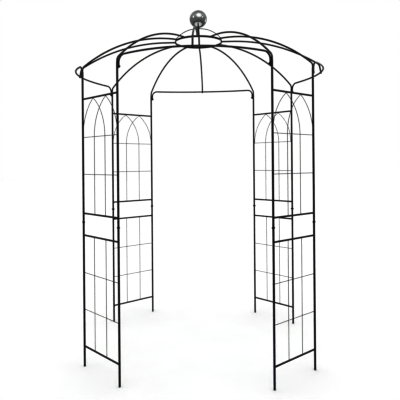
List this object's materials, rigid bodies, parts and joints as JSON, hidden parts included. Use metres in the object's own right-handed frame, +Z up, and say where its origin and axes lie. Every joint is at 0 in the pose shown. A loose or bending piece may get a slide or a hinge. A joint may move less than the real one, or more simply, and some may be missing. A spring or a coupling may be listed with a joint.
{
  "type": "garden gazebo",
  "caption": "Round open garden gazebo of slim black steel tube, with arched walk-through openings, narrow trellis panels between them, and a ribbed dome with a ball finial.",
  "frame": {"origin": "on the ground at the centre of the round plan", "axes": "+Z up; -Y towards the front opening; +X towards the right opening"},
  "size_m": [2.0356, 2.0356, 2.782],
  "materials": {
    "black_powder_coat": "satin black powder coat",
    "polished_ball": "dark mirror-polished metal",
    "bolt_steel": "black-coated steel",
    "insert_steel": "zinc-plated steel",
    "foot_plastic": "moulded black plastic"
  },
  "bodies": {
    "root": {"upper_bars_front_right": "black_powder_coat", "lower_bars_front_right": "black_powder_coat", "upper_trellis_front_right": "black_powder_coat", "lower_trellis_front_right": "black_powder_coat", "upper_post_front_right": "black_powder_coat", "lower_post_front_right": "black_powder_coat", "rib_front_right": "black_powder_coat", "upper_post_right_front": "black_powder_coat", "lower_post_right_front": "black_powder_coat", "rib_right_front": "black_powder_coat", "upper_bars_back_right": "black_powder_coat", "lower_bars_back_right": "black_powder_coat", "upper_trellis_back_right": "black_powder_coat", "lower_trellis_back_right": "black_powder_coat", "upper_post_right_back": "black_powder_coat", "lower_post_right_back": "black_powder_coat", "rib_right_back": "black_powder_coat", "upper_post_back_right": "black_powder_coat", "lower_post_back_right": "black_powder_coat", "rib_back_right": "black_powder_coat", "upper_bars_back_left": "black_powder_coat", "lower_bars_back_left": "black_powder_coat", "upper_trellis_back_left": "black_powder_coat", "lower_trellis_back_left": "black_powder_coat", "upper_post_back_left": "black_powder_coat", "lower_post_back_left": "black_powder_coat", "rib_back_left": "black_powder_coat", "upper_post_left_back": "black_powder_coat", "lower_post_left_back": "black_powder_coat", "rib_left_back": "black_powder_coat", "upper_bars_front_left": "black_powder_coat", "lower_bars_front_left": "black_powder_coat", "upper_trellis_front_left": "black_powder_coat", "lower_trellis_front_left": "black_powder_coat", "upper_post_left_front": "black_powder_coat", "lower_post_left_front": "black_powder_coat", "rib_left_front": "black_powder_coat", "upper_post_front_left": "black_powder_coat", "lower_post_front_left": "black_powder_coat", "rib_front_left": "black_powder_coat", "header_front": "black_powder_coat", "rib_front": "black_powder_coat", "header_right": "black_powder_coat", "rib_right": "black_powder_coat", "header_back": "black_powder_coat", "rib_back": "black_powder_coat", "header_left": "black_powder_coat", "rib_left": "black_powder_coat", "crown_ring": "black_powder_coat", "hoop_front_back": "black_powder_coat", "hoop_left_right": "black_powder_coat", "finial_ball": "polished_ball", "finial_bolt": "bolt_steel", "header_screws": "bolt_steel", "post_joint_bolts": "bolt_steel", "post_joint_nuts": "bolt_steel", "crown_bolts": "bolt_steel", "mid_rib_bolts": "bolt_steel", "rib_inserts": "insert_steel", "foot_plugs": "foot_plastic"}
  },
  "joints": []
}
